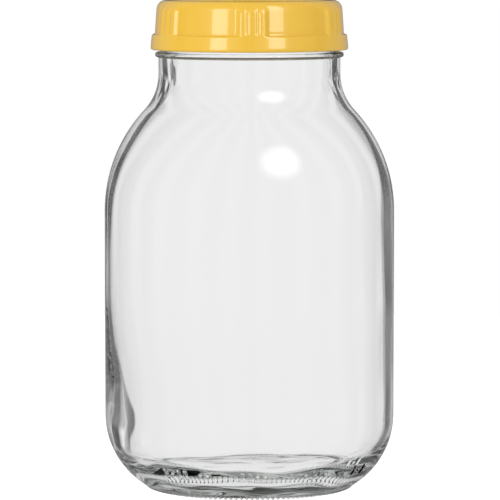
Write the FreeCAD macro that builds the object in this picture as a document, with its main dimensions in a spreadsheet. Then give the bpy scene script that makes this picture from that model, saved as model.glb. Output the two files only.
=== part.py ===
"""A three litre glass jar with a yellow twist-off cap, standing on its base ring.

Millimetres, +Z up, origin on the jar's axis at the level that it stands on. The jar is one piece
of glass and the cap is one piece of pressed tinplate with its sealing compound. The cap rests on
the jar's rim, and its lugs hook under the screw ridges round the rim.
"""

import FreeCAD, Part
import math
import os
import re

import Sketcher

# Each size is named once here. Lengths are in millimetres, and turns in degrees.
SIZES = {
    # The jar, from the base ring up to the rim.
    "body_diameter": 150,
    "wall": 3.8,
    "base_thickness": 5,
    "punt_depth": 4,
    "foot_radius": 51.2,
    "foot_flat": 1.2,
    "foot_round": 2.7,
    "foot_crease": 25,
    "heel_radius": 42.5,
    "inner_heel_radius": 27,
    "straight_height": 106,
    "shoulder_radius": 76,
    "neck_curve": 28,
    "neck_diameter": 94,
    "neck_height": 8.4,
    "bead_proud": 1.8,
    "bead_height": 2.7,
    "finish_inset": 0.8,
    "finish_height": 25.4,
    # The screw ridges round the finish, and the cap's lugs that slide under them.
    "lug_count": 6,
    "lug_turn": 14,
    "lug_thickness": 1.1,
    "lug_clearance": 0.3,
    "ridge_proud": 1.6,
    "ridge_width": 2.6,
    "ridge_root": 0.5,
    "ridge_pitch": 12,
    "ridge_turn": 46,
    "ridge_lead": 3,
    # The pressed cap.
    "cap_gap": 1.1,
    "cap_turn": 31.9,
    "sheet": 0.4,
    "compound": 1,
    "compound_lap": 0.6,
    "corner_room": 0.28,
    "skirt_draft": 0.8,
    "crown_round": 5,
    "panel_inset": 9,
    "panel_slope": 2,
    "panel_depth": 1,
    "band_height": 7.1,
    "band_draft": 0.6,
    "step_height": 2,
    "step_width": 1.7,
    "curl": 2.2,
    # The grips: groups of three ribs, which are a raised pad with two grooves in it.
    "grip_count": 6,
    "grip_turn": 17.4,
    "grip_draft": 0.9,
    "grip_fade": 2.2,
    "grip_rise": 2.4,
    "rib_pitch": 6.3,
    "groove_turn": 2.9,
    "groove_depth": 0.45,
    "groove_end": 1.5,
    "groove_overcut": 1,
}

# Radii and heights of the jar, each worked out from the sizes above.
BODY_R = "(body_diameter / 2)"
NECK_R = "(neck_diameter / 2)"
BORE_R = f"({NECK_R} - wall)"
FINISH_R = f"({NECK_R} - finish_inset)"
RIM_ROUND = f"(({FINISH_R} - {BORE_R}) / 2)"
FOOT_IN_R = "(foot_radius - foot_flat / 2)"
FOOT_OUT_R = "(foot_radius + foot_flat / 2)"
CREASE_R = f"({FOOT_OUT_R} + foot_round * cos(foot_crease))"
CREASE_Z = "(foot_round * (1 - sin(foot_crease)))"
HEEL_R = f"({BODY_R} - heel_radius)"
STRAIGHT_Z = f"({CREASE_Z} + sqrt(heel_radius ^ 2 - ({CREASE_R} - {HEEL_R}) ^ 2))"
SHOULDER_Z = f"({STRAIGHT_Z} + straight_height)"
FLOOR_Z = "(punt_depth + base_thickness)"

# The shoulder is two arcs, one of each curve, that meet on the line between their centres.
SPAN = "(shoulder_radius + neck_curve)"
LEAN = f"({NECK_R} + neck_curve - {BODY_R} + shoulder_radius)"
RISE = f"sqrt({SPAN} ^ 2 - {LEAN} ^ 2)"
NECK_Z = f"({SHOULDER_Z} + {RISE})"
BEAD_Z = f"({NECK_Z} + neck_height)"
BEAD_FLAT_R = f"({NECK_R} + bead_proud - bead_height / 2)"
FINISH_Z = f"({BEAD_Z} + bead_height)"
RIM_Z = f"({FINISH_Z} + finish_height)"

# The cap is drawn from its own lower edge, which hangs just above the jar's bead.
CAP_Z = f"({FINISH_Z} + cap_gap)"
SEAL_Z = "(finish_height - cap_gap)"
CROWN_Z = f"({SEAL_Z} + compound + sheet)"

# The skirt stands off the finish by a share of the crown's rounding, which has to clear the rim.
SKIRT_GAP = "(crown_round * corner_room)"
SKIRT_TOP_R = f"({FINISH_R} + {SKIRT_GAP} + sheet)"
SKIRT_TOP_Z = f"({CROWN_Z} - crown_round)"
SKIRT_R = f"({SKIRT_TOP_R} + skirt_draft)"
STEP_Z = "(band_height + step_height)"
BAND_TOP_R = f"({SKIRT_R} + step_width)"
BAND_R = f"({BAND_TOP_R} + band_draft)"
PANEL_R = f"({SKIRT_TOP_R} - panel_inset)"
CORNER_R = f"({SKIRT_TOP_R} - crown_round)"
SEAL_IN_R = f"({BORE_R} - compound_lap)"
SEAL_OUT_R = f"({CORNER_R} + sqrt((crown_round - sheet) ^ 2 - ({SEAL_Z} - {SKIRT_TOP_Z}) ^ 2))"

# The step between band and skirt is two arcs of this radius, each half as wide and high.
STEP_BEND = "((step_width ^ 2 + step_height ^ 2) / (4 * step_width))"

# The grips reach up a little way into the crown's rounding, and fade out there.
GRIP_R = f"({BAND_TOP_R} - grip_draft)"
GRIP_TOP_Z = f"({SKIRT_TOP_Z} + grip_rise)"
GRIP_TOP_R = f"({CORNER_R} + sqrt((crown_round - sheet / 2) ^ 2 - grip_rise ^ 2))"
GRIP_Z = f"({GRIP_TOP_Z} - grip_fade)"

# A lug lies just over the curl's middle, and a ridge's lower flank just over the lug.
LUG_TOP = "(curl / 2 + lug_thickness)"
LUG_MIDDLE = "(180 / lug_count)"
RIDGE_Z = f"({CAP_Z} + {LUG_TOP} + lug_clearance + ridge_width / 2)"
RIDGE_START = f"(cap_turn + {LUG_MIDDLE} - lug_turn / 2 - ridge_lead)"


def make_sheet(doc):
    """The spreadsheet: one row for each size, with its name and the number under that alias."""
    sheet = doc.addObject("Spreadsheet::Sheet", "sizes")
    for row, (name, number) in enumerate(SIZES.items(), start=1):
        sheet.set(f"A{row}", name)
        sheet.set(f"B{row}", str(number))
        sheet.setAlias(f"B{row}", name)
    doc.recompute()
    return sheet


def formula(text):
    """The text with each size's name pointed at its cell."""
    return re.sub(r"[a-z_]+", lambda word: f"sizes.{word[0]}" if word[0] in SIZES else word[0], text)


def value(body, text):
    """The number that a formula comes to now."""
    return float(body.evalExpression(formula(text)))


def origin_part(body, role):
    """The plane or axis with this role in the body's own origin."""
    return next(item for item in body.Origin.OriginFeatures if item.Role == role)


class Outline:
    """A closed outline in a half plane through a body's axis: radius across, height up.

    It is drawn anticlockwise, so the solid lies to its left. Each corner is tied to the sheet by
    a formula for its radius and one for its height, and each arc by one for its bend.
    """

    def __init__(self, body, name, turn=None):
        self.body = body
        self.sketch = body.newObject("Sketcher::SketchObject", name)
        self.sketch.AttachmentSupport = [(origin_part(body, "XZ_Plane"), "")]
        self.sketch.MapMode = "FlatFace"
        if turn is not None:
            swing = FreeCAD.Rotation(FreeCAD.Vector(0, 1, 0), value(body, turn))
            self.sketch.AttachmentOffset = FreeCAD.Placement(FreeCAD.Vector(), swing)
            self.sketch.setExpression(".AttachmentOffset.Rotation.Angle", formula(turn))
        self.first = None
        self.corner = None
        self.loose_end = None
        self.tail = None

    def place(self, corner):
        radius, height = corner
        return FreeCAD.Vector(value(self.body, radius), value(self.body, height), 0)

    def tie(self, text, kind, *where):
        """Adds a constraint whose number follows the formula."""
        index = self.sketch.addConstraint(Sketcher.Constraint(kind, *where, value(self.body, text)))
        self.sketch.setExpression(f"Constraints[{index}]", formula(text))

    def start(self, radius, height):
        self.first = (radius, height)
        self.corner = self.first

    def join(self, edge, begin, end, corner):
        """Joins a new edge to the one before, and ties its far end to the corner."""
        if self.tail is None:
            self.loose_end = (edge, begin)
        else:
            self.sketch.addConstraint(Sketcher.Constraint("Coincident", *self.tail, edge, begin))
        if corner == self.first:
            self.sketch.addConstraint(Sketcher.Constraint("Coincident", edge, end, *self.loose_end))
        self.tie(corner[0], "DistanceX", -1, 1, edge, end)
        self.tie(corner[1], "DistanceY", -1, 1, edge, end)
        self.tail = (edge, end)
        self.corner = corner

    def line(self, radius, height):
        corner = (radius, height)
        stroke = Part.LineSegment(self.place(self.corner), self.place(corner))
        self.join(self.sketch.addGeometry(stroke), 1, 2, corner)

    def arc(self, radius, height, bend, side="left"):
        """Less than half a turn, with its centre on the given side of the way along it."""
        corner = (radius, height)
        here = self.place(self.corner)
        there = self.place(corner)
        size = value(self.body, bend)
        chord = there - here
        reach = math.sqrt(max(size**2 - chord.Length**2 / 4, 0))
        across = FreeCAD.Vector(-chord.y, chord.x, 0).normalize()
        if side == "right":
            across = -across
        centre = (here + there) / 2 + across * reach
        ends = [here, there] if side == "left" else [there, here]
        angles = [math.atan2(spot.y - centre.y, spot.x - centre.x) for spot in ends]
        circle = Part.Circle(centre, FreeCAD.Vector(0, 0, 1), size)
        edge = self.sketch.addGeometry(Part.ArcOfCircle(circle, *angles))
        begin, end = (1, 2) if side == "left" else (2, 1)
        self.join(edge, begin, end, corner)
        self.tie(bend, "Radius", edge)

    def close(self):
        self.line(*self.first)
        return self.sketch


def along_shoulder(radius):
    """Where an arc of this radius about the shoulder's lower centre ends, at the bend's change."""
    across = f"({BODY_R} - shoulder_radius + {radius} * {LEAN} / {SPAN})"
    return across, f"({SHOULDER_Z} + {radius} * {RISE} / {SPAN})"


def along_step(depth):
    """The middle of the cap's step, at this depth under its outer face."""
    across = f"({SKIRT_R} + step_width / 2 - {depth} * (1 - step_width / (2 * {STEP_BEND})))"
    return across, f"(band_height + step_height / 2 - {depth} * step_height / (2 * {STEP_BEND}))"


def make_body(doc, name, height, turn):
    """A body at this height, turned about the jar's axis."""
    body = doc.addObject("PartDesign::Body", name)
    body.Label = name
    spin = FreeCAD.Rotation(FreeCAD.Vector(0, 0, 1), value(body, turn))
    body.Placement = FreeCAD.Placement(FreeCAD.Vector(0, 0, value(body, height)), spin)
    body.setExpression(".Placement.Base.z", formula(height))
    body.setExpression(".Placement.Rotation.Angle", formula(turn))
    return body


def revolve(body, kind, name, sketch, turn=None):
    """A Revolution or a Groove of the sketch about the axis: a full turn, or half to each side."""
    feature = body.newObject(f"PartDesign::{kind}", name)
    feature.Profile = sketch
    feature.ReferenceAxis = (sketch, ["V_Axis"])
    feature.Angle = 360
    if turn is not None:
        feature.Midplane = True
        feature.setExpression("Angle", formula(turn))
    body.Document.recompute()
    return feature


def repeat(body, name, features, count):
    """The features repeated evenly all round the axis."""
    pattern = body.newObject("PartDesign::PolarPattern", name)
    pattern.Originals = features
    pattern.Axis = (origin_part(body, "Z_Axis"), [""])
    pattern.Angle = 360
    pattern.setExpression("Occurrences", formula(count))
    body.Tip = pattern
    body.Document.recompute()


def glass_outline(body):
    """Half of the jar's section: outside from the base up, over the rim, and down the inside."""
    outline = Outline(body, "glass_outline")
    outline.start("0", "punt_depth")
    outline.line(f"{FOOT_IN_R} - foot_round", "foot_round")
    outline.arc(FOOT_IN_R, "0", "foot_round")
    outline.line(FOOT_OUT_R, "0")
    outline.arc(CREASE_R, CREASE_Z, "foot_round")
    outline.arc(BODY_R, STRAIGHT_Z, "heel_radius")
    outline.line(BODY_R, SHOULDER_Z)
    outline.arc(*along_shoulder("shoulder_radius"), "shoulder_radius")
    outline.arc(NECK_R, NECK_Z, "neck_curve", "right")
    outline.line(NECK_R, BEAD_Z)
    outline.line(BEAD_FLAT_R, BEAD_Z)
    outline.arc(f"{NECK_R} + bead_proud", f"{BEAD_Z} + bead_height / 2", "bead_height / 2")
    outline.arc(BEAD_FLAT_R, FINISH_Z, "bead_height / 2")
    outline.line(FINISH_R, FINISH_Z)
    outline.line(FINISH_R, f"{RIM_Z} - {RIM_ROUND}")
    outline.arc(f"{FINISH_R} - {RIM_ROUND}", RIM_Z, RIM_ROUND)
    outline.arc(BORE_R, f"{RIM_Z} - {RIM_ROUND}", RIM_ROUND)
    outline.line(BORE_R, NECK_Z)
    outline.arc(*along_shoulder("(shoulder_radius - wall)"), "neck_curve + wall")
    outline.arc(f"{BODY_R} - wall", SHOULDER_Z, "shoulder_radius - wall", "right")
    outline.line(f"{BODY_R} - wall", f"{FLOOR_Z} + inner_heel_radius")
    outline.arc(f"{BODY_R} - wall - inner_heel_radius", FLOOR_Z, "inner_heel_radius", "right")
    outline.line("0", FLOOR_Z)
    return outline.close()


def ridge_outline(body):
    """The section of one screw ridge, rooted in the finish at its low end."""
    outline = Outline(body, "ridge_outline")
    outline.start(f"{FINISH_R} - ridge_root", f"{RIDGE_Z} - ridge_width / 2")
    outline.line(f"{FINISH_R} + ridge_proud", f"{RIDGE_Z} - ridge_width / 4")
    outline.line(f"{FINISH_R} + ridge_proud", f"{RIDGE_Z} + ridge_width / 4")
    outline.line(f"{FINISH_R} - ridge_root", f"{RIDGE_Z} + ridge_width / 2")
    return outline.close()


def make_jar(doc):
    """The glass jar: a turned section, with screw ridges that climb round its finish."""
    jar = make_body(doc, "jar", "0", RIDGE_START)
    revolve(jar, "Revolution", "glass", glass_outline(jar))
    sketch = ridge_outline(jar)
    ridge = jar.newObject("PartDesign::AdditiveHelix", "ridge")
    ridge.Profile = sketch
    ridge.ReferenceAxis = (sketch, ["V_Axis"])
    ridge.Mode = "pitch-turns-angle"
    ridge.setExpression("Pitch", formula("ridge_pitch"))
    ridge.setExpression("Turns", formula("ridge_turn / 360"))
    doc.recompute()
    repeat(jar, "ridges", [ridge], "lug_count")
    return jar


def sheet_outline(body):
    """Half of the cap's section: the inside from the crown down, round the curl, and back up."""
    outline = Outline(body, "sheet_outline")
    outline.start("0", f"{CROWN_Z} - panel_depth - sheet")
    outline.line(PANEL_R, f"{CROWN_Z} - panel_depth - sheet")
    outline.line(f"{PANEL_R} + panel_slope", f"{CROWN_Z} - sheet")
    outline.line(SEAL_IN_R, f"{CROWN_Z} - sheet")
    outline.line(SEAL_IN_R, SEAL_Z)
    outline.line(SEAL_OUT_R, SEAL_Z)
    outline.arc(f"{SKIRT_TOP_R} - sheet", SKIRT_TOP_Z, "crown_round - sheet", "right")
    outline.line(f"{SKIRT_R} - sheet", STEP_Z)
    outline.arc(*along_step("sheet"), f"{STEP_BEND} + sheet")
    outline.arc(f"{BAND_TOP_R} - sheet", "band_height", f"{STEP_BEND} - sheet", "right")
    outline.line(f"{BAND_R} - sheet", "curl")
    outline.line(f"{BAND_R} - curl / 2", "curl")
    outline.arc(f"{BAND_R} - curl", "curl / 2", "curl / 2")
    outline.arc(f"{BAND_R} - curl / 2", "0", "curl / 2")
    outline.arc(BAND_R, "curl / 2", "curl / 2")
    outline.line(BAND_TOP_R, "band_height")
    outline.arc(*along_step("0"), STEP_BEND)
    outline.arc(SKIRT_R, STEP_Z, STEP_BEND, "right")
    outline.line(SKIRT_TOP_R, SKIRT_TOP_Z)
    outline.arc(CORNER_R, CROWN_Z, "crown_round")
    outline.line(f"{PANEL_R} + panel_slope", CROWN_Z)
    outline.line(PANEL_R, f"{CROWN_Z} - panel_depth")
    outline.line("0", f"{CROWN_Z} - panel_depth")
    return outline.close()


def grip_outline(body):
    """The section of one grip's pad, rooted halfway into the sheet."""
    outline = Outline(body, "grip_outline")
    outline.start(f"{BAND_TOP_R} - sheet / 2", "band_height")
    outline.line(BAND_TOP_R, "band_height")
    outline.line(GRIP_R, GRIP_Z)
    outline.line(GRIP_TOP_R, GRIP_TOP_Z)
    outline.line(f"{SKIRT_TOP_R} - sheet / 2", SKIRT_TOP_Z)
    outline.line(f"{SKIRT_R} - sheet / 2", STEP_Z)
    outline.arc(*along_step("sheet / 2"), f"{STEP_BEND} + sheet / 2")
    outline.arc(*outline.first, f"{STEP_BEND} - sheet / 2", "right")
    return outline.sketch


def groove_outline(body, name, turn):
    """The section of one groove between two ribs, cut from outside the pad."""
    outline = Outline(body, name, turn)
    outline.start(f"{BAND_TOP_R} + groove_overcut", "band_height")
    outline.line(f"{GRIP_R} + groove_overcut", GRIP_Z)
    outline.line(f"{GRIP_R} - groove_depth", f"{GRIP_Z} - groove_end")
    outline.line(f"{BAND_TOP_R} - groove_depth", "band_height + groove_end")
    return outline.close()


def lug_outline(body):
    """The section of one lug, pressed in from the curl towards the finish."""
    outline = Outline(body, "lug_outline", LUG_MIDDLE)
    outline.start(f"{FINISH_R} + lug_clearance", "curl / 2")
    outline.line(f"{BAND_R} - curl / 2", "curl / 2")
    outline.line(f"{BAND_R} - curl / 2", LUG_TOP)
    outline.line(f"{FINISH_R} + lug_clearance", LUG_TOP)
    return outline.close()


def make_cap(doc):
    """The cap: a turned sheet with its sealing compound, grips outside and lugs inside."""
    cap = make_body(doc, "cap", CAP_Z, "cap_turn")
    revolve(cap, "Revolution", "pressed_sheet", sheet_outline(cap))
    pad = revolve(cap, "Revolution", "grip_pad", grip_outline(cap), "grip_turn")
    features = [pad]
    for name, turn in (("groove_before", "-rib_pitch / 2"), ("groove_after", "rib_pitch / 2")):
        sketch = groove_outline(cap, f"{name}_outline", turn)
        features.append(revolve(cap, "Groove", name, sketch, "groove_turn"))
    repeat(cap, "grips", features, "grip_count")
    lug = revolve(cap, "Revolution", "lug", lug_outline(cap), "lug_turn")
    repeat(cap, "lugs", [lug], "lug_count")
    return cap


def check_objects(doc):
    """Stops if any object of the document failed, or came out broken."""
    for item in doc.Objects:
        if "Invalid" in item.State or "Error" in item.State:
            raise ValueError(f"{item.Name} failed: {item.State}")
        if hasattr(item, "BaseFeature") and (item.Shape.isNull() or not item.Shape.isValid()):
            raise ValueError(f"{item.Name} has no valid shape")


def check_sub_part(body):
    """Stops unless the body is one valid solid, where each feature adds or cuts as it should."""
    if body.Shape.isNull() or not body.Shape.isValid() or len(body.Shape.Solids) != 1:
        raise ValueError(f"{body.Label} isn't one valid solid")
    for feature in body.Group:
        base = getattr(feature, "BaseFeature", None)
        if base is None:
            continue
        growth = feature.Shape.Volume - base.Shape.Volume
        cuts = feature.TypeId == "PartDesign::Groove"
        if growth == 0 or (growth < 0) != cuts:
            raise ValueError(f"{feature.Name} changed its body's volume by {growth}")


def main():
    doc = FreeCAD.newDocument("jar_with_cap")
    make_sheet(doc)
    bodies = [make_jar(doc), make_cap(doc)]
    doc.recompute()
    check_objects(doc)
    os.makedirs("parts", exist_ok=True)
    for body in bodies:
        check_sub_part(body)
    for body in bodies:
        body.Shape.exportStep(f"parts/{body.Label}.step")
        box = body.Shape.BoundBox
        print(f"{body.Label}: {body.Shape.Volume / 1000:.1f} cm3, z {box.ZMin:.2f} to {box.ZMax:.2f}")


main()
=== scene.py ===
"""The looks of a three litre twist-off jar: clear blown glass under a yellow lacquered tinplate cap.

Sizes are in millimetres and turns in degrees, and both become metres and radians where a mesh is
made. The jar and the cap are each one new piece that stands for its CAD node. Each has its node's
outline and the small relief that the CAD leaves out, and the glass is uneven inside, as blown.
"""
import math

import bmesh
import bpy
from mathutils import Matrix, Vector, noise


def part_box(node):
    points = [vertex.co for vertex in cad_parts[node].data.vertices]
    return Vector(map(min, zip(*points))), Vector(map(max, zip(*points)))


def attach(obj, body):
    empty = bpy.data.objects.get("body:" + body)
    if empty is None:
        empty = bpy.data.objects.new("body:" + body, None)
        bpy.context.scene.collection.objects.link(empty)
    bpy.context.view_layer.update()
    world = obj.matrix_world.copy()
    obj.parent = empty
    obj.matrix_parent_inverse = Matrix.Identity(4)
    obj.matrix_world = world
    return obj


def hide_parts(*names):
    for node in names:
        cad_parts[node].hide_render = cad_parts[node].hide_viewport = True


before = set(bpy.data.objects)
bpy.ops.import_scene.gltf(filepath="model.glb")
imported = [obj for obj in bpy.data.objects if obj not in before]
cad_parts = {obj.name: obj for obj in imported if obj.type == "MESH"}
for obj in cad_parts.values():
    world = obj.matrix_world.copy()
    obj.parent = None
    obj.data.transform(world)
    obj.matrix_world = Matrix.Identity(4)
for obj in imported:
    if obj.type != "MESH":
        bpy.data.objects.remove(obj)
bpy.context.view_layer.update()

MM = 0.001


# ---------------------------------------------------------------- sizes

cap_low, cap_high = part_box("cap")
jar_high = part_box("jar")[1]

RIM_Z = jar_high.z / MM
CAP_Z = cap_low.z / MM
CROWN_Z = cap_high.z / MM

# The jar, from its base ring up to its rim.
BODY_R = 75.0
WALL = 3.8
PUNT_Z = 4.0
FLOOR_Z = 9.0
FOOT_IN_R = 50.6
FOOT_OUT_R = 51.8
FOOT_ROUND = 2.7
FOOT_CREASE = 25.0
HEEL_ROUND = 42.5
INNER_HEEL_ROUND = 27.0
STRAIGHT_LENGTH = 106.0
SHOULDER_ROUND = 76.0
NECK_ROUND = 28.0
NECK_R = 47.0
NECK_LENGTH = 8.4
BEAD_PROUD = 1.8
BEAD_HEIGHT = 2.7
FINISH_R = 46.2
BORE_R = NECK_R - WALL

CREASE_R = FOOT_OUT_R + FOOT_ROUND * math.cos(math.radians(FOOT_CREASE))
CREASE_Z = FOOT_ROUND * (1 - math.sin(math.radians(FOOT_CREASE)))
HEEL_R = BODY_R - HEEL_ROUND
STRAIGHT_Z = CREASE_Z + math.sqrt(HEEL_ROUND**2 - (CREASE_R - HEEL_R) ** 2)
SHOULDER_Z = STRAIGHT_Z + STRAIGHT_LENGTH
SHOULDER_R = BODY_R - SHOULDER_ROUND
SHOULDER_TURN = math.degrees(math.acos((NECK_R + NECK_ROUND - SHOULDER_R) / (SHOULDER_ROUND + NECK_ROUND)))
NECK_Z = SHOULDER_Z + (SHOULDER_ROUND + NECK_ROUND) * math.sin(math.radians(SHOULDER_TURN))
BEAD_Z = NECK_Z + NECK_LENGTH
FINISH_Z = BEAD_Z + BEAD_HEIGHT
RIM_ROUND = (FINISH_R - BORE_R) / 2

# Where the blown wall is thicker than drawn: everywhere, from side to side, and in its ends.
WALL_SPARE = 0.1
WALL_SLANT = 1.1
SLANT_Z = 120.0
SLANT_LENGTH = 90.0
SHOULDER_SPARE = 0.6
LOW_SPARE = 1.9
HEEL_GATHER = 2.6
NECK_SPARE = 0.6
NECK_MOTTLE = 0.12

# The knurled base ring.
TEETH = 120
TOOTH_DEPTH = 0.9

# The raised marks on the heel, with their band's slopes in degrees and each mark's half length.
MARKS_LOW = -42.0
MARKS_MIDDLE = -35.0
MARKS_HIGH = -28.0
MARK_PITCH = 3.3
MARK_HEIGHT = 0.8
MARK_RADIUS = 0.95
BAR = 2.2
DOT = 0.0

# How many columns go round the glass: the fine ones are for the base ring and the heel's marks.
COLUMNS = 320
FINE_COLUMNS = 960

# The screw ridges round the finish.
RIDGES = 6
RIDGE_START = 51.9
RIDGE_TURN = 46.0
RIDGE_PITCH = 12.0
RIDGE_PROUD = 1.6
RIDGE_WIDTH = 2.6
RIDGE_LOW_Z = CAP_Z + 3.8
RIDGE_FADE = 2.5

# The pressed cap, measured up from its own lower edge.
GRIPS = 6
CAP_TURN = 31.9
SHEET = 0.4
BAND_R = 51.1
BAND_TOP_R = 50.5
BAND_TOP_Z = 7.1
STEP_Z = 9.1
STEP_MIDDLE_Z = (BAND_TOP_Z + STEP_Z) / 2
SKIRT_R = 48.8
SKIRT_TOP_R = 48.0
TOP_Z = CROWN_Z - CAP_Z
CROWN_ROUND = 5.0
PANEL_R = 39.0
PANEL_SLOPE = 2.0
PANEL_DEPTH = 1.0
CURL = 2.2
SEAL_Z = TOP_Z - SHEET - 1.0
SEAL_IN_R = 42.6
WEDGE_COLUMNS = 112
LUG_REACH_R = 46.55
LUG_HALF_TURN = 7.0
LUG_EDGE_TURN = 1.2

# A grip: its pad on the skirt, and the two grooves that part its three ribs.
GRIP_R = 50.0
PAD_HALF = 5.6
PAD_HALF_FOOT = 9.2
PAD_LOW_Z = 6.0
PAD_TOP_Z = 23.9
RIB_DRAFT = 0.065
GROOVE_OFF = 2.77
GROOVE_DEPTH = 0.5
GROOVE_LOW_Z = 9.7
GROOVE_TOP_Z = 20.3


# ---------------------------------------------------------------- small helpers


def add(tree, kind, settings=None, links=None):
    """A new node with its settings, where a number or text names an input, and its links."""
    node = tree.nodes.new(kind)
    for name, value in (settings or {}).items():
        if isinstance(name, int) or name in node.inputs:
            node.inputs[name].default_value = value
        else:
            setattr(node, name, value)
    for name, socket in (links or {}).items():
        tree.links.new(socket, node.inputs[name])
    return node


def hex_colour(text):
    """An sRGB colour such as "F6C945" as linear red, green, blue and alpha."""
    parts = [int(text[i : i + 2], 16) / 255 for i in (0, 2, 4)]
    linear = [c / 12.92 if c <= 0.04045 else ((c + 0.055) / 1.055) ** 2.4 for c in parts]
    return (*linear, 1.0)


def smooth_step(low, high, value):
    """0 below low, 1 above high and a soft rise between them. It falls if low is above high."""
    share = min(max((value - low) / (high - low), 0.0), 1.0)
    return share * share * (3 - 2 * share)


def arc(centre_r, centre_z, radius, first, last, steps):
    """Points on an arc from one angle to another, both ends included."""
    turns = [math.radians(first + (last - first) * i / steps) for i in range(steps + 1)]
    return [(centre_r + radius * math.cos(t), centre_z + radius * math.sin(t)) for t in turns]


def run(first, last, steps):
    """Points on a straight run, without its two ends."""
    shares = [i / steps for i in range(1, steps)]
    return [(first[0] + (last[0] - first[0]) * s, first[1] + (last[1] - first[1]) * s) for s in shares]


def eased(corners, steps=4):
    """An outline of corners (radius, height, rounding) with each corner rounded by an arc."""
    points = []
    for i, (r, z, rounding) in enumerate(corners):
        here = Vector((r, z))
        if not rounding or i in (0, len(corners) - 1):
            points.append((r, z))
            continue
        back = (Vector(corners[i - 1][:2]) - here).normalized()
        on = (Vector(corners[i + 1][:2]) - here).normalized()
        half = back.angle(on) / 2
        middle = here + (back + on).normalized() * rounding / math.sin(half)
        first = here + back * rounding / math.tan(half) - middle
        sweep = first.angle_signed(here + on * rounding / math.tan(half) - middle)
        count = max(2, math.ceil(abs(math.degrees(sweep)) / 90 * steps))
        for k in range(count + 1):
            spoke = Matrix.Rotation(-sweep * k / count, 2) @ first
            points.append(tuple(middle + spoke))
    return points


def lathe(name, rings, place, turn_from=0.0, turn_to=360.0):
    """A turned mesh. Each ring is (radius, height, columns), drawn with the solid to its left.

    place(radius, height, turn, ring number) gives where a point goes. Rings beside each other
    have as many columns, or one has three times the other's, or one is a single point.
    """
    whole = turn_to - turn_from >= 360
    points = []
    starts = []
    for number, (radius, height, columns) in enumerate(rings):
        starts.append(len(points))
        if radius == 0:
            points.append((0.0, 0.0, place(radius, height, 0.0, number)[1] * MM))
            continue
        for k in range(columns if whole else columns + 1):
            turn = turn_from + (turn_to - turn_from) * k / columns
            r, z = place(radius, height, turn, number)
            angle = math.radians(turn)
            points.append((r * math.cos(angle) * MM, r * math.sin(angle) * MM, z * MM))
    faces = []
    for number in range(len(rings) - 1):
        low, high = starts[number], starts[number + 1]
        below, above = rings[number][2], rings[number + 1][2]
        low_pole, high_pole = rings[number][0] == 0, rings[number + 1][0] == 0
        if high_pole or (not low_pole and below < above):
            pace, span = above // below if not high_pole else 1, below
        else:
            pace, span = 1, above
        for k in range(span):
            after = (k + 1) % span if whole else k + 1
            if low_pole:
                faces.append((low, high + after, high + k))
            elif high_pole:
                faces.append((low + k, low + after, high))
            elif below == above:
                faces.append((low + k, low + after, high + after, high + k))
            elif below < above:
                fine = [high + (k * pace + i) % above for i in range(pace + 1)]
                faces.append((low + k, low + after, *reversed(fine)))
            else:
                share = below // above
                fine = [low + (k * share + i) % below for i in range(share + 1)]
                faces.append((*fine, high + after, high + k))
    mesh = bpy.data.meshes.new(name)
    mesh.from_pydata(points, [], faces)
    mesh.update()
    thing = bpy.data.objects.new(name, mesh)
    bpy.context.scene.collection.objects.link(thing)
    return thing


def node_modifier(thing, tree, values):
    """Puts a Geometry Nodes tree on the object and sets its inputs by their identifiers."""
    modifier = thing.modifiers.new(tree.name, "NODES")
    modifier.node_group = tree
    sockets = {s.name: s.identifier for s in tree.interface.items_tree if s.in_out == "INPUT"}
    for name, value in values.items():
        modifier[sockets[name]] = value


def settled(thing, name):
    """The object with its modifiers worked out, as a new plain object of that name."""
    graph = bpy.context.evaluated_depsgraph_get()
    mesh = bpy.data.meshes.new_from_object(thing.evaluated_get(graph))
    mesh.name = name
    mesh.shade_smooth()
    old = thing.data
    bpy.data.objects.remove(thing)
    bpy.data.meshes.remove(old)
    made = bpy.data.objects.new(name, mesh)
    bpy.context.scene.collection.objects.link(made)
    return made


def new_tree(name, inputs):
    """A Geometry Nodes tree with a geometry input, these named inputs and a geometry output."""
    tree = bpy.data.node_groups.new(name, "GeometryNodeTree")
    tree.interface.new_socket("Geometry", in_out="INPUT", socket_type="NodeSocketGeometry")
    tree.interface.new_socket("Geometry", in_out="OUTPUT", socket_type="NodeSocketGeometry")
    for label, kind in inputs:
        tree.interface.new_socket(label, in_out="INPUT", socket_type=kind)
    return tree


# ---------------------------------------------------------------- materials


def new_material(name):
    """An empty node material and its tree."""
    material = bpy.data.materials.new(name)
    material.use_nodes = True
    material.node_tree.nodes.clear()
    return material, material.node_tree


def make_flint_glass():
    """Soda-lime flint glass, blown in a mould: clear, smooth, and a little grey along its depth.

    The grey of the volume gives the thick edges their depth. A faint slow ripple is what the
    mould leaves on the skin. The specular tint is darker than real glass has: it weakens what the
    glass mirrors face on, and leaves what it mirrors at its edges.
    """
    material, tree = new_material("flint_glass")
    where = add(tree, "ShaderNodeTexCoord")
    ripple = add(tree, "ShaderNodeTexNoise", {"Scale": 55.0, "Detail": 1.5, "Roughness": 0.4},
                 {"Vector": where.outputs["Object"]})
    bump = add(tree, "ShaderNodeBump", {"Strength": 1.0, "Distance": 0.02 * MM},
               {"Height": ripple.outputs["Fac"]})
    glass = add(tree, "ShaderNodeBsdfPrincipled",
                {"Base Color": hex_colour("FFFFFF"), "Roughness": 0.0, "IOR": 1.52,
                 "Transmission Weight": 1.0, "Specular Tint": hex_colour("A0A0A0")},
                {"Normal": bump.outputs["Normal"]})
    depth = add(tree, "ShaderNodeVolumeAbsorption",
                {"Color": hex_colour("C8D2CC"), "Density": 5.0})
    add(tree, "ShaderNodeOutputMaterial", links={"Surface": glass.outputs["BSDF"],
                                                 "Volume": depth.outputs["Volume"]})
    return material


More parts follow.
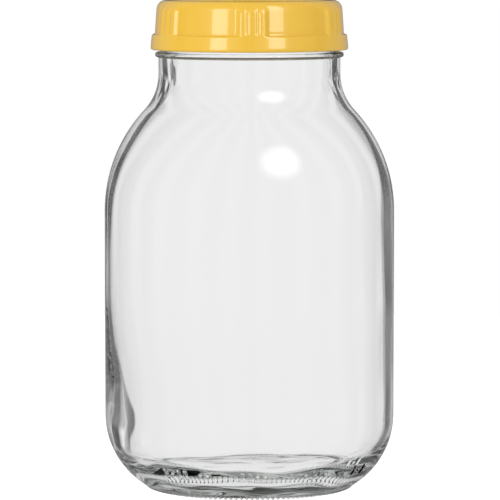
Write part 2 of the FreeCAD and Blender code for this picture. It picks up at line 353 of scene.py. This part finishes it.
def make_lacquer(name, light, deep, roughness):
    """Stoved lacquer on tinplate: a hard gloss coat over opaque colour, with a fine orange peel."""
    material, tree = new_material(name)
    where = add(tree, "ShaderNodeTexCoord")
    cloud = add(tree, "ShaderNodeTexNoise", {"Scale": 35.0, "Detail": 3.0},
                {"Vector": where.outputs["Object"]})
    colour = add(tree, "ShaderNodeMix", {"data_type": "RGBA", 6: hex_colour(light), 7: hex_colour(deep)},
                 {0: cloud.outputs["Fac"]})
    peel = add(tree, "ShaderNodeTexNoise", {"Scale": 700.0, "Detail": 2.0},
               {"Vector": where.outputs["Object"]})
    bump = add(tree, "ShaderNodeBump", {"Strength": 1.0, "Distance": 0.004 * MM},
               {"Height": peel.outputs["Fac"]})
    coat = add(tree, "ShaderNodeBsdfPrincipled",
               {"Roughness": roughness, "IOR": 1.5, "Coat Weight": 1.0, "Coat Roughness": 0.07},
               {"Base Color": colour.outputs[2], "Normal": bump.outputs["Normal"],
                "Coat Normal": bump.outputs["Normal"]})
    add(tree, "ShaderNodeOutputMaterial", links={"Surface": coat.outputs["BSDF"]})
    return material


# ---------------------------------------------------------------- the glass jar


def ripple(x, y, height, wide, tall, shift=(0.0, 0.0)):
    """Smooth noise in the wall, with bumps this wide round the jar and this tall up it."""
    return noise.noise((x / wide + shift[0], y / wide + shift[1], height / tall))


def wall_wave(radius, turn, height):
    """How much thicker the blown wall is here than its drawn size.

    The glass slants to one side at mid height and to the other above and below. It is thicker all
    round in the neck, by the shoulder and near the base, and it gathers most at the heel's left.
    Upright ripples lie over that, as the blowing leaves them, and a fine mottle in the neck.
    """
    angle = math.radians(turn)
    x, y = radius * math.cos(angle), radius * math.sin(angle)
    wave = WALL_SPARE + WALL_SLANT * math.cos(math.pi * (height - SLANT_Z) / SLANT_LENGTH) * x / BODY_R
    wave += SHOULDER_SPARE * smooth_step(160, 190, height) + LOW_SPARE * smooth_step(100, 50, height)
    wave += HEEL_GATHER * smooth_step(75, 25, height) * smooth_step(0.1, -1.0, x / BODY_R)
    neck = smooth_step(192, 212, height)
    wave += NECK_SPARE * neck
    wave += 0.25 * ripple(x, y, height, 30, 60)
    wave += 0.05 * ripple(x, y, height, 12, 60, (9, 0))
    wave += 0.015 * ripple(x, y, height, 5, 25, (0, 4))
    return wave + NECK_MOTTLE * neck * ripple(x, y, height, 3.5, 5, (0, 4))


def floor_wave(radius, turn):
    """The swirls in the thick base: long, middling and fine waves, across lines that bend."""
    x = radius * math.cos(math.radians(turn))
    y = radius * math.sin(math.radians(turn))
    bent_x = x + 7 * math.sin(y / 15 + 0.8)
    bent_y = y + 9 * math.sin(x / 19 + 2.0)
    wave = 0.28 * math.sin(bent_y / 4.1 + 0.5)
    wave += 0.25 * math.sin((bent_x + 0.6 * bent_y) / 5.3 + 1.9)
    wave += 0.07 * math.sin((bent_y - 0.4 * bent_x) / 2.3)
    return wave * smooth_step(4, 16, radius)


def screw_ridge(turn, height):
    """How far the screw ridges stand out from the finish here."""
    along = (turn - RIDGE_START) % (360 / RIDGES)
    if along > RIDGE_TURN:
        return 0.0
    middle = RIDGE_LOW_Z + RIDGE_PITCH * along / 360
    ends = smooth_step(0, RIDGE_FADE, along) * smooth_step(RIDGE_TURN, RIDGE_TURN - RIDGE_FADE, along)
    return RIDGE_PROUD * ends * smooth_step(RIDGE_WIDTH / 2, RIDGE_WIDTH / 5, abs(height - middle))


def glass_outside():
    """The outside from the punt up to the finish, in stretches that each say their columns."""
    dome_r = FOOT_IN_R - FOOT_ROUND
    steps = [dome_r * i / 9 for i in range(1, 9)]
    under = [(r, PUNT_Z - (PUNT_Z - FOOT_ROUND) * (r / dome_r) ** 2) for r in steps]
    foot = arc(FOOT_IN_R, FOOT_ROUND, FOOT_ROUND, 180, 270, 6)
    foot += arc(FOOT_OUT_R, FOOT_ROUND, FOOT_ROUND, 270, 360 - FOOT_CREASE, 5)
    heel_from = math.degrees(math.atan2(CREASE_Z - STRAIGHT_Z, CREASE_R - HEEL_R))
    low_heel = arc(HEEL_R, STRAIGHT_Z, HEEL_ROUND, heel_from, MARKS_LOW, 7)[1:-1]
    marked_heel = arc(HEEL_R, STRAIGHT_Z, HEEL_ROUND, MARKS_LOW, MARKS_HIGH, 21)
    high_heel = arc(HEEL_R, STRAIGHT_Z, HEEL_ROUND, MARKS_HIGH, 0, 11)[1:]
    side = run((BODY_R, STRAIGHT_Z), (BODY_R, SHOULDER_Z), 10)
    shoulder = arc(SHOULDER_R, SHOULDER_Z, SHOULDER_ROUND, 0, SHOULDER_TURN, 18)
    shoulder += arc(BODY_R, NECK_Z, NECK_ROUND, 180 + SHOULDER_TURN, 180, 12)[1:]
    bead_r = NECK_R + BEAD_PROUD - BEAD_HEIGHT / 2
    neck_end = (NECK_R, BEAD_Z - 0.36)
    neck = run((NECK_R, NECK_Z), neck_end, 6)
    neck += eased([(*neck_end, 0), (NECK_R, BEAD_Z, 0.2), (bead_r + 0.1, BEAD_Z, 0)], 3)
    neck += arc(bead_r, BEAD_Z + BEAD_HEIGHT / 2, BEAD_HEIGHT / 2, -75, 75, 8)
    finish_foot = (FINISH_R, FINISH_Z + 1)
    finish = eased([(bead_r + 0.1, FINISH_Z, 0), (FINISH_R, FINISH_Z, 0.5), (*finish_foot, 0)], 3)[1:]
    finish += run(finish_foot, (FINISH_R, RIM_Z - RIM_ROUND), 16)
    return [
        (under, COLUMNS),
        (foot, FINE_COLUMNS),
        (low_heel, COLUMNS),
        (marked_heel, FINE_COLUMNS),
        (high_heel + side + shoulder + neck + finish, COLUMNS),
    ]


def glass_inside(inner_heel_z):
    """The inside from under the rim down to the floor, as it is drawn before it is made uneven."""
    inside = run((BORE_R, RIM_Z - RIM_ROUND), (BORE_R, NECK_Z), 7)
    inside += arc(BODY_R, NECK_Z, NECK_ROUND + WALL, 180, 180 + SHOULDER_TURN, 9)
    inside += arc(SHOULDER_R, SHOULDER_Z, SHOULDER_ROUND - WALL, SHOULDER_TURN, 0, 12)[1:]
    inside += run((BODY_R - WALL, SHOULDER_Z), (BODY_R - WALL, inner_heel_z), 30)
    inside += arc(BODY_R - WALL - INNER_HEEL_ROUND, inner_heel_z, INNER_HEEL_ROUND, 0, -90, 15)
    return inside + run((BODY_R - WALL - INNER_HEEL_ROUND, FLOOR_Z), (0, FLOOR_Z), 14)


def make_glass(material):
    """The jar's glass: outside from the base up, over the rim, and down the inside."""
    inner_heel_z = FLOOR_Z + INNER_HEEL_ROUND
    rings = [(0, PUNT_Z, 1)]
    for stretch, columns in glass_outside():
        rings += [(r, z, columns) for r, z in stretch]
    first_rim = len(rings)
    rim = arc(FINISH_R - RIM_ROUND, RIM_Z - RIM_ROUND, RIM_ROUND, 0, 180, 10)
    rings += [(r, z, COLUMNS) for r, z in rim]
    first_inside = len(rings)
    rings += [(r, z, COLUMNS) for r, z in glass_inside(inner_heel_z)]
    rings.append((0, FLOOR_Z, 1))

    def place(radius, height, turn, number):
        if number < first_rim:
            if FINISH_Z + 1 < height:
                radius += screw_ridge(turn, height)
            return radius, height
        if number < first_inside:
            return radius, height
        wave = wall_wave(radius, turn, height) * smooth_step(RIM_Z - 2, RIM_Z - 14, height)
        heel = smooth_step(inner_heel_z, FLOOR_Z, height)
        low = floor_wave(radius, turn) * smooth_step(FLOOR_Z + 22, FLOOR_Z, height)
        return radius - wave * (1 - heel), height + 0.5 * wave * heel + low

    blank = lathe("glass_blank", rings, place)
    marks = make_heel_marks()
    node_modifier(blank, make_relief_tree(material), {
        "Teeth": TEETH,
        "Tooth Depth": TOOTH_DEPTH * MM,
        "Marks": marks,
        "Mark Height": MARK_HEIGHT * MM,
        "Mark Radius": MARK_RADIUS * MM,
    })
    made = settled(blank, "glass_jar")
    bpy.data.objects.remove(marks)
    return made


def make_heel_marks():
    """Where the mould's raised dots and bars lie on the heel: short edges, in groups."""
    groups = [
        (-128.5, (BAR, DOT, BAR, BAR)),
        (-111.5, (DOT, DOT)),
        (-93.0, (BAR, BAR, DOT, DOT)),
        (-65.0, (DOT, BAR, BAR, DOT)),
        (-38.0, (BAR, DOT, BAR)),
    ]
    shortest = 0.05
    points = []
    edges = []
    for start, halves in groups:
        for k, half in enumerate(halves):
            turn = math.radians(start + MARK_PITCH * k)
            for side in (-1, 1):
                tilt = math.radians(MARKS_MIDDLE + side * math.degrees((half + shortest) / HEEL_ROUND))
                r = HEEL_R + HEEL_ROUND * math.cos(tilt)
                z = STRAIGHT_Z + HEEL_ROUND * math.sin(tilt)
                points.append((r * math.cos(turn) * MM, r * math.sin(turn) * MM, z * MM))
            edges.append((len(points) - 2, len(points) - 1))
    mesh = bpy.data.meshes.new("heel_marks")
    mesh.from_pydata(points, edges, [])
    thing = bpy.data.objects.new("heel_marks", mesh)
    bpy.context.scene.collection.objects.link(thing)
    return thing


def make_relief_tree(material):
    """Cuts the knurled teeth into the base ring, and raises the marks on the heel."""
    tree = new_tree("glass_relief", [("Teeth", "NodeSocketInt"), ("Tooth Depth", "NodeSocketFloat"),
                                     ("Marks", "NodeSocketObject"), ("Mark Height", "NodeSocketFloat"),
                                     ("Mark Radius", "NodeSocketFloat")])
    given = add(tree, "NodeGroupInput").outputs
    where = add(tree, "GeometryNodeInputPosition").outputs[0]
    facing = add(tree, "GeometryNodeInputNormal").outputs[0]
    parts = add(tree, "ShaderNodeSeparateXYZ", links={0: where}).outputs
    level = add(tree, "ShaderNodeCombineXYZ", links={0: parts[0], 1: parts[1]}).outputs[0]
    radius = add(tree, "ShaderNodeVectorMath", {"operation": "LENGTH"}, {0: level}).outputs["Value"]
    angle = add(tree, "ShaderNodeMath", {"operation": "ARCTAN2"}, {0: parts[1], 1: parts[0]}).outputs[0]
    turned = add(tree, "ShaderNodeMath", {"operation": "MULTIPLY"},
                 {0: angle, 1: given["Teeth"]}).outputs[0]
    wave = add(tree, "ShaderNodeMath", {"operation": "COSINE"}, {0: turned}).outputs[0]
    tooth = add(tree, "ShaderNodeMapRange",
                {"interpolation_type": "SMOOTHSTEP", "From Min": -0.9, "From Max": 0.9, "To Min": 0.0},
                {"Value": wave, "To Max": given["Tooth Depth"]}).outputs[0]
    near_foot = add(tree, "ShaderNodeMapRange",
                    {"interpolation_type": "SMOOTHSTEP", "From Min": 2.6 * MM, "From Max": 1.5 * MM},
                    {"Value": parts[2]}).outputs[0]
    in_crease = add(tree, "ShaderNodeMapRange",
                    {"interpolation_type": "SMOOTHSTEP", "From Min": CREASE_R * MM,
                     "From Max": (CREASE_R - 0.6) * MM},
                    {"Value": radius}).outputs[0]
    place = add(tree, "ShaderNodeMath", {"operation": "MULTIPLY"}, {0: near_foot, 1: in_crease}).outputs[0]
    cut = add(tree, "ShaderNodeMath", {"operation": "MULTIPLY"}, {0: tooth, 1: place}).outputs[0]
    seen = add(tree, "GeometryNodeObjectInfo", {"transform_space": "RELATIVE"}, {"Object": given["Marks"]})
    near = add(tree, "GeometryNodeProximity", {"target_element": "EDGES"},
               {0: seen.outputs["Geometry"]}).outputs["Distance"]
    raised = add(tree, "ShaderNodeMapRange",
                 {"interpolation_type": "SMOOTHSTEP", "From Max": 0.35 * MM, "To Min": 0.0},
                 {"Value": near, "From Min": given["Mark Radius"],
                  "To Max": given["Mark Height"]}).outputs[0]
    rise = add(tree, "ShaderNodeMath", {"operation": "SUBTRACT"}, {0: raised, 1: cut}).outputs[0]
    offset = add(tree, "ShaderNodeVectorMath", {"operation": "SCALE"},
                 {0: facing, "Scale": rise}).outputs[0]
    moved = add(tree, "GeometryNodeSetPosition", links={"Geometry": given["Geometry"], "Offset": offset})
    real = add(tree, "GeometryNodeRealizeInstances", links={0: moved.outputs[0]})
    painted = add(tree, "GeometryNodeSetMaterial", {"Material": material}, {"Geometry": real.outputs[0]})
    add(tree, "NodeGroupOutput", links={0: painted.outputs[0]})
    return tree


# ---------------------------------------------------------------- the pressed cap


def grip_relief(radius, height, turn, sheet):
    """How far the sheet is pressed out here by a group of three ribs."""
    across = abs(math.radians(turn)) * GRIP_R
    pad = smooth_step(PAD_HALF_FOOT, PAD_HALF, across)
    pad *= smooth_step(PAD_LOW_Z, PAD_LOW_Z + 1.2, height)
    pad *= smooth_step(PAD_TOP_Z, PAD_TOP_Z - 4.3, height)
    ribs_r = BAND_TOP_R - RIB_DRAFT * (height - BAND_TOP_Z)
    lift = max(0.0, ribs_r - sheet - radius) * pad
    beyond = max(GROOVE_LOW_Z - height, height - GROOVE_TOP_Z, 0.0)
    groove = GROOVE_DEPTH * smooth_step(1.5, 0.4, math.hypot(beyond, across - GROOVE_OFF))
    return lift - groove


def lug_reach(radius, height, turn):
    """How far the curl is pressed in here by a lug."""
    off = 180 / GRIPS - abs(turn)
    share = smooth_step(LUG_HALF_TURN + LUG_EDGE_TURN, LUG_HALF_TURN - LUG_EDGE_TURN, off)
    inward = smooth_step(BAND_R - CURL / 2, BAND_R - CURL, radius)
    return share * inward * (radius - LUG_REACH_R) * smooth_step(0.2, 1.0, height)


def cap_outside():
    """The outside of the cap's section, from the middle of its top out and down to the curl."""
    top = eased([
        (0.0, TOP_Z - PANEL_DEPTH, 0),
        (PANEL_R, TOP_Z - PANEL_DEPTH, 1.2),
        (PANEL_R + PANEL_SLOPE, TOP_Z, 1.2),
        (SKIRT_TOP_R - 0.3, TOP_Z, CROWN_ROUND),
        (SKIRT_R, STEP_Z, 0),
    ], 9)[:-1]
    outer = [top[0], *run(top[0], top[1], 7), *top[1:]]
    outer += run(top[-1], (SKIRT_R, STEP_Z + 0.6), 24)
    outer += eased([
        (SKIRT_R - 0.04, STEP_Z + 0.6, 0),
        (SKIRT_R + 0.03, STEP_MIDDLE_Z + 0.14, 1.0),
        (BAND_TOP_R - 0.04, STEP_MIDDLE_Z - 0.14, 1.0),
        (BAND_TOP_R + 0.07, BAND_TOP_Z - 0.6, 0),
    ], 7)
    return outer + run((BAND_TOP_R + 0.07, BAND_TOP_Z - 0.6), (BAND_R, CURL / 2 + 0.3), 6)


def cap_inside():
    """The inside of the cap's section, from the curl up the skirt, round the seal and to the middle."""
    lined = eased([
        (BAND_R - SHEET, CURL, 0),
        (BAND_TOP_R - SHEET + 0.03, STEP_MIDDLE_Z - 0.48, 0.6),
        (SKIRT_R - SHEET + 0.03, STEP_MIDDLE_Z - 0.2, 1.3),
        (SKIRT_TOP_R - SHEET - 0.25, SEAL_Z, 2.5),
        (SEAL_IN_R, SEAL_Z, 0.4),
        (SEAL_IN_R, TOP_Z - SHEET, 0.2),
        (PANEL_R + PANEL_SLOPE, TOP_Z - SHEET, 0.6),
        (PANEL_R, TOP_Z - PANEL_DEPTH - SHEET, 0.6),
        (0.0, TOP_Z - PANEL_DEPTH - SHEET, 0),
    ], 4)
    tall = [i for i in range(len(lined) - 1) if abs(lined[i + 1][1] - lined[i][1]) > 8][0]
    lined[tall + 1 : tall + 1] = run(lined[tall], lined[tall + 1], 16)
    return lined


def mark_lining(wedge):
    """Marks the faces of the wedge that only the inner lacquer covers."""
    lining = wedge.data.attributes.new("lining", "BOOLEAN", "FACE")
    for face in wedge.data.polygons:
        middle = face.center
        r, z = math.hypot(middle.x, middle.y) / MM, middle.z / MM
        facing = face.normal.x * middle.x + face.normal.y * middle.y
        on_skirt = z > CURL - 0.1 and facing < 0 and r > SEAL_IN_R - 1
        overhead = face.normal.z < -0.3 and z > CURL
        lining.data[face.index].value = on_skirt or overhead


def make_cap(outside, inside):
    """The cap: one wedge with one grip and half a lug at each side, repeated round the axis."""
    outer = cap_outside()
    curled = arc(BAND_R - CURL / 2, CURL / 2, CURL / 2, 0, -270, 18)
    section = outer + curled + cap_inside()
    kept = [here for here, after in zip(section, section[1:] + [None]) if here != after]
    rings = [(r, z, WEDGE_COLUMNS) for r, z in kept]
    # They are drawn from the top's middle out and down, so they are turned round for the lathe.
    rings.reverse()
    split = len(rings) - len(outer)

    def place(radius, height, turn, number):
        sheet = 0.0 if number >= split else SHEET
        shift = 0.0
        if BAND_TOP_Z - 1.2 < height < PAD_TOP_Z + 0.1 and radius > 45.0:
            shift = grip_relief(radius, height, turn, sheet)
        if height < CURL and radius < BAND_R - CURL / 2:
            shift = -lug_reach(radius, height, turn)
        return radius + shift, height

    half = 180 / GRIPS
    wedge = lathe("cap_wedge", rings, place, -half, half)
    wedge.data.materials.append(outside)
    mark_lining(wedge)
    node_modifier(wedge, make_wedge_tree(outside, inside), {
        "Wedges": GRIPS,
        "First Turn": math.radians(CAP_TURN),
        "Height": CAP_Z * MM,
        "Join": 0.004 * MM,
    })
    return settled(wedge, "cap_lid")


def make_wedge_tree(outside, inside):
    """Repeats a wedge round the axis, joins the wedges into one closed shell, and lacquers it."""
    tree = new_tree("cap_wedges", [("Wedges", "NodeSocketInt"), ("First Turn", "NodeSocketFloat"),
                                   ("Height", "NodeSocketFloat"), ("Join", "NodeSocketFloat")])
    given = add(tree, "NodeGroupInput").outputs
    lift = add(tree, "ShaderNodeCombineXYZ", links={2: given["Height"]}).outputs[0]
    spots = add(tree, "GeometryNodeMeshLine", {"mode": "OFFSET", "Offset": (0.0, 0.0, 0.0)},
                {"Count": given["Wedges"], "Start Location": lift}).outputs[0]
    index = add(tree, "GeometryNodeInputIndex").outputs[0]
    share = add(tree, "ShaderNodeMath", {"operation": "DIVIDE"}, {0: index, 1: given["Wedges"]}).outputs[0]
    turn = add(tree, "ShaderNodeMath", {"operation": "MULTIPLY_ADD", 1: math.tau},
               {0: share, 2: given["First Turn"]}).outputs[0]
    spin = add(tree, "ShaderNodeCombineXYZ", links={2: turn}).outputs[0]
    placed = add(tree, "GeometryNodeInstanceOnPoints",
                 links={"Points": spots, "Instance": given["Geometry"], "Rotation": spin})
    real = add(tree, "GeometryNodeRealizeInstances", links={0: placed.outputs[0]})
    joined = add(tree, "GeometryNodeMergeByDistance", links={"Geometry": real.outputs[0],
                                                             "Distance": given["Join"]})
    lined = add(tree, "GeometryNodeInputNamedAttribute", {"data_type": "BOOLEAN", "Name": "lining"})
    coated = add(tree, "GeometryNodeSetMaterial", {"Material": outside}, {"Geometry": joined.outputs[0]})
    whole = add(tree, "GeometryNodeSetMaterial", {"Material": inside},
                {"Geometry": coated.outputs[0], "Selection": lined.outputs["Attribute"]})
    add(tree, "NodeGroupOutput", links={0: whole.outputs[0]})
    return tree


# ---------------------------------------------------------------- the studio


# How bright each part of the studio looks, where 1 is white.
BACKDROP = 1.0
DIFFUSE_LEVEL = 0.96
CARD_LEVEL = 0.08
SCREEN_LEVEL = 0.885
STRIP_SHADES = ((0.04, 0.02), (0.08, 0.85), (0.36, 0.85), (0.44, 0.03), (0.9, 0.03), (1.0, 0.2))
EVEN_LEVEL = 0.28
TABLE_LEVEL = 0.8
BEYOND_WALL_LEVEL = 0.7


def light_through(tree, wave, height):
    """The level for a ray that goes straight through the glass: a screen, or a dark card."""
    card = add(tree, "ShaderNodeMath", {"operation": "ADD", 1: 0.19}, {0: wave}).outputs[0]
    off_card = add(tree, "ShaderNodeMath", {"operation": "ABSOLUTE"}, {0: card}).outputs[0]
    screen = add(tree, "ShaderNodeMapRange",
                 {"interpolation_type": "SMOOTHSTEP", "From Min": 0.25, "From Max": 0.4},
                 {"Value": off_card}).outputs[0]
    ceiling = add(tree, "ShaderNodeMapRange",
                  {"interpolation_type": "SMOOTHSTEP", "From Min": 0.5, "From Max": 0.35, "To Min": 0.45},
                  {"Value": height}).outputs[0]
    lit = add(tree, "ShaderNodeMath", {"operation": "MULTIPLY"}, {0: screen, 1: ceiling}).outputs[0]
    return add(tree, "ShaderNodeMapRange", {"To Min": CARD_LEVEL, "To Max": SCREEN_LEVEL},
               {"Value": lit}).outputs[0]


def light_strips(tree, fold):
    """Bright and dark upright strips, by how far round from a screen's middle a ray leaves."""
    strips = add(tree, "ShaderNodeValToRGB", links={0: fold})
    shades = strips.color_ramp.elements
    for place, shade in STRIP_SHADES:
        shades.new(place).color = (shade, shade, shade, 1.0)
    shades.remove(shades[0])
    shades.remove(shades[len(shades) - 1])
    return strips.outputs[0]


def light_caught(tree, fold, height, reflections, passes):
    """The level for a ray that was mirrored inside the glass before it left.

    After one reflection it meets the strips, and the table if it leaves steeply down. After more
    it fades, by its count of reflections. That count, and the count of passes through a surface
    that sets the level for rays beyond the wall, have no like in real light.
    """
    strips = light_strips(tree, fold)
    steep = add(tree, "ShaderNodeMapRange",
                {"interpolation_type": "SMOOTHSTEP", "From Min": -0.4, "From Max": -0.55},
                {"Value": height}).outputs[0]
    contrast = add(tree, "ShaderNodeMapRange",
                   {"interpolation_type": "SMOOTHSTEP", "From Min": -0.15, "From Max": 0.0, "To Min": 0.4},
                   {"Value": height}).outputs[0]
    level = add(tree, "ShaderNodeMix", {"data_type": "FLOAT", 2: EVEN_LEVEL},
                {0: contrast, 3: strips}).outputs[0]
    once = add(tree, "ShaderNodeMix", {"data_type": "FLOAT", 3: TABLE_LEVEL},
               {0: steep, 2: level}).outputs[0]
    faded = add(tree, "ShaderNodeMapRange",
                {"From Min": 5.0, "From Max": 10.0, "To Min": 0.7, "To Max": 0.12},
                {"Value": reflections}).outputs[0]
    varied = add(tree, "ShaderNodeMapRange", {"To Min": 0.5}, {"Value": strips}).outputs[0]
    deep = add(tree, "ShaderNodeMath", {"operation": "MULTIPLY"}, {0: faded, 1: varied}).outputs[0]
    often = add(tree, "ShaderNodeMapRange", {"From Min": 1.0, "From Max": 3.0},
                {"Value": reflections}).outputs[0]
    edge = add(tree, "ShaderNodeMix", {"data_type": "FLOAT"}, {0: often, 2: once, 3: deep}).outputs[0]
    in_wall = add(tree, "ShaderNodeMath", {"operation": "LESS_THAN", 1: 3.5}, {0: passes}).outputs[0]
    return add(tree, "ShaderNodeMix", {"data_type": "FLOAT", 2: BEYOND_WALL_LEVEL},
               {0: in_wall, 3: edge}).outputs[0]


def make_world():
    """A white studio with dark cards between its screens, which give glass its dark edges.

    It repeats four times round the jar. Its light on a ray depends on the ray's past: see
    light_caught.
    """
    world = bpy.data.worlds.new("studio")
    world.use_nodes = True
    tree = world.node_tree
    tree.nodes.clear()
    path = add(tree, "ShaderNodeLightPath").outputs
    way = add(tree, "ShaderNodeTexCoord").outputs["Generated"]
    parts = add(tree, "ShaderNodeSeparateXYZ", links={0: way}).outputs
    angle = add(tree, "ShaderNodeMath", {"operation": "ARCTAN2"}, {0: parts[1], 1: parts[0]}).outputs[0]
    repeated = add(tree, "ShaderNodeMath", {"operation": "MULTIPLY", 1: 4.0}, {0: angle}).outputs[0]
    wave = add(tree, "ShaderNodeMath", {"operation": "COSINE"}, {0: repeated}).outputs[0]
    fold = add(tree, "ShaderNodeMapRange", {"From Min": 1.0, "From Max": -1.0}, {"Value": wave}).outputs[0]
    clear = light_through(tree, wave, parts[2])
    inner = light_caught(tree, fold, parts[2], path["Glossy Depth"], path["Transmission Depth"])
    caught = add(tree, "ShaderNodeMath", {"operation": "MINIMUM", 1: 1.0},
                 {0: path["Glossy Depth"]}).outputs[0]
    seen = add(tree, "ShaderNodeMix", {"data_type": "FLOAT"}, {0: caught, 2: clear, 3: inner}).outputs[0]
    shine = add(tree, "ShaderNodeMapRange",
                {"From Min": 0.02, "From Max": 0.07, "To Min": 0.1, "To Max": 0.32},
                {"Value": fold}).outputs[0]
    gloss = add(tree, "ShaderNodeMix", {"data_type": "FLOAT", 2: DIFFUSE_LEVEL},
                {0: path["Is Glossy Ray"], 3: shine}).outputs[0]
    unseen = add(tree, "ShaderNodeMix", {"data_type": "FLOAT"},
                 {0: path["Is Transmission Ray"], 2: gloss, 3: seen}).outputs[0]
    strength = add(tree, "ShaderNodeMix", {"data_type": "FLOAT", 3: BACKDROP},
                   {0: path["Is Camera Ray"], 2: unseen}).outputs[0]
    light = add(tree, "ShaderNodeBackground", {"Color": hex_colour("FFFFFF")}, {"Strength": strength})
    add(tree, "ShaderNodeOutputWorld", links={"Surface": light.outputs[0]})
    bpy.context.scene.world = world


# The lamps stand round a point in the cap's middle, this far away.
LAMP_DISTANCE = 1.6
LAMP_TARGET = Vector((0.0, 0.0, 0.23))


def make_softbox(name, azimuth, elevation, width, tall, brightness, lit):
    """A soft lamp at this bearing from the cap, facing it, that lights only the pieces given.

    Its width and height are in metres, and its brightness is what its face shows.
    """
    data = bpy.data.lights.new(name, "AREA")
    data.shape = "RECTANGLE"
    data.size = width
    data.size_y = tall
    data.energy = brightness * math.pi * width * tall
    lamp = bpy.data.objects.new(name, data)
    turn = math.radians(azimuth)
    rise = math.radians(elevation)
    level = LAMP_DISTANCE * math.cos(rise)
    way = Vector((math.sin(turn) * level, -math.cos(turn) * level, math.sin(rise) * LAMP_DISTANCE))
    lamp.location = LAMP_TARGET + way
    lamp.rotation_euler = (-way).to_track_quat("-Z", "Y").to_euler()
    lamp.visible_camera = False
    lamp.visible_transmission = False
    bpy.context.scene.collection.objects.link(lamp)
    group = bpy.data.collections.new(f"{name}_lights")
    for piece in lit:
        group.objects.link(piece)
    lamp.light_linking.receiver_collection = group
    return lamp


def fade_to_rim(lamp):
    """Lets a lamp's light die away from its middle to a round rim, as cloth over it would."""
    lamp.data.use_nodes = True
    tree = lamp.data.node_tree
    tree.nodes.clear()
    face = add(tree, "ShaderNodeNewGeometry").outputs["Parametric"]
    spot = add(tree, "ShaderNodeVectorMath", {"operation": "DISTANCE", 1: (0.5, 0.5, 0.0)}, {0: face})
    fade = add(tree, "ShaderNodeMapRange",
               {"interpolation_type": "SMOOTHSTEP", "From Min": 0.5, "From Max": 0.2},
               {"Value": spot.outputs["Value"]}).outputs[0]
    cloth = add(tree, "ShaderNodeEmission", links={"Strength": fade})
    add(tree, "ShaderNodeOutputLight", links={"Surface": cloth.outputs[0]})


def make_floor():
    """A round pale table, glowing a little to the camera so that it shows white."""
    material, tree = new_material("table_laminate")
    path = add(tree, "ShaderNodeLightPath").outputs
    glow = add(tree, "ShaderNodeMath", {"operation": "MULTIPLY", 1: 0.5},
               {0: path["Is Camera Ray"]}).outputs[0]
    top = add(tree, "ShaderNodeBsdfPrincipled",
              {"Base Color": hex_colour("ECECEC"), "Roughness": 0.9, "Specular IOR Level": 0.0,
               "Emission Color": hex_colour("FFFFFF")},
              {"Emission Strength": glow})
    add(tree, "ShaderNodeOutputMaterial", links={"Surface": top.outputs["BSDF"]})
    mesh = bpy.data.meshes.new("table_top")
    shape = bmesh.new()
    bmesh.ops.create_circle(shape, cap_ends=True, radius=0.9, segments=128)
    shape.to_mesh(mesh)
    shape.free()
    mesh.materials.append(material)
    floor = bpy.data.objects.new("table_top", mesh)
    bpy.context.scene.collection.objects.link(floor)
    floor.visible_transmission = False
    floor.visible_glossy = False
    return floor


# The camera's long lens in millimetres, its place in metres, and how far it looks down.
CAMERA_LENS = 285.3
CAMERA_PLACE = (0.0003, -2.05, 0.294)
CAMERA_DROP = 4.76


def make_camera():
    """A long lens from the front, a little above the jar."""
    data = bpy.data.cameras.new("camera")
    data.lens = CAMERA_LENS
    data.sensor_width = 36.0
    data.clip_end = 50.0
    camera = bpy.data.objects.new("camera", data)
    camera.location = CAMERA_PLACE
    camera.rotation_euler = (math.radians(90 - CAMERA_DROP), 0.0, 0.0)
    bpy.context.scene.collection.objects.link(camera)
    bpy.context.scene.camera = camera


bpy.context.scene.view_settings.view_transform = "Standard"
# Light is caught many times in the thick base, and black patches grow where it is cut off early.
bpy.context.scene.cycles.max_bounces = 32
bpy.context.scene.cycles.glossy_bounces = 24
bpy.context.scene.cycles.transmission_bounces = 32
make_camera()
make_world()
floor = make_floor()

glass = make_glass(make_flint_glass())
# The piece casts no shadow. With one, the table beside the base is about a fifth darker.
glass.visible_shadow = False
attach(glass, "root")
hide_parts("jar")

lid = make_cap(
    make_lacquer("yellow_stoved_lacquer", "F4C43A", "F0BE34", 0.3),
    make_lacquer("pale_inner_lacquer", "E8E2D0", "E0D8C2", 0.35),
)
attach(lid, "root")
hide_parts("cap")

fade_to_rim(make_softbox("glass_lamp", 30.0, 37.0, 1.15, 0.95, 12.0, [glass]))
make_softbox("right_strip", 32.0, 33.0, 0.6, 1.7, 3.6, [lid]).visible_diffuse = False
make_softbox("left_strip", -36.0, 12.0, 0.55, 0.8, 3.6, [lid])
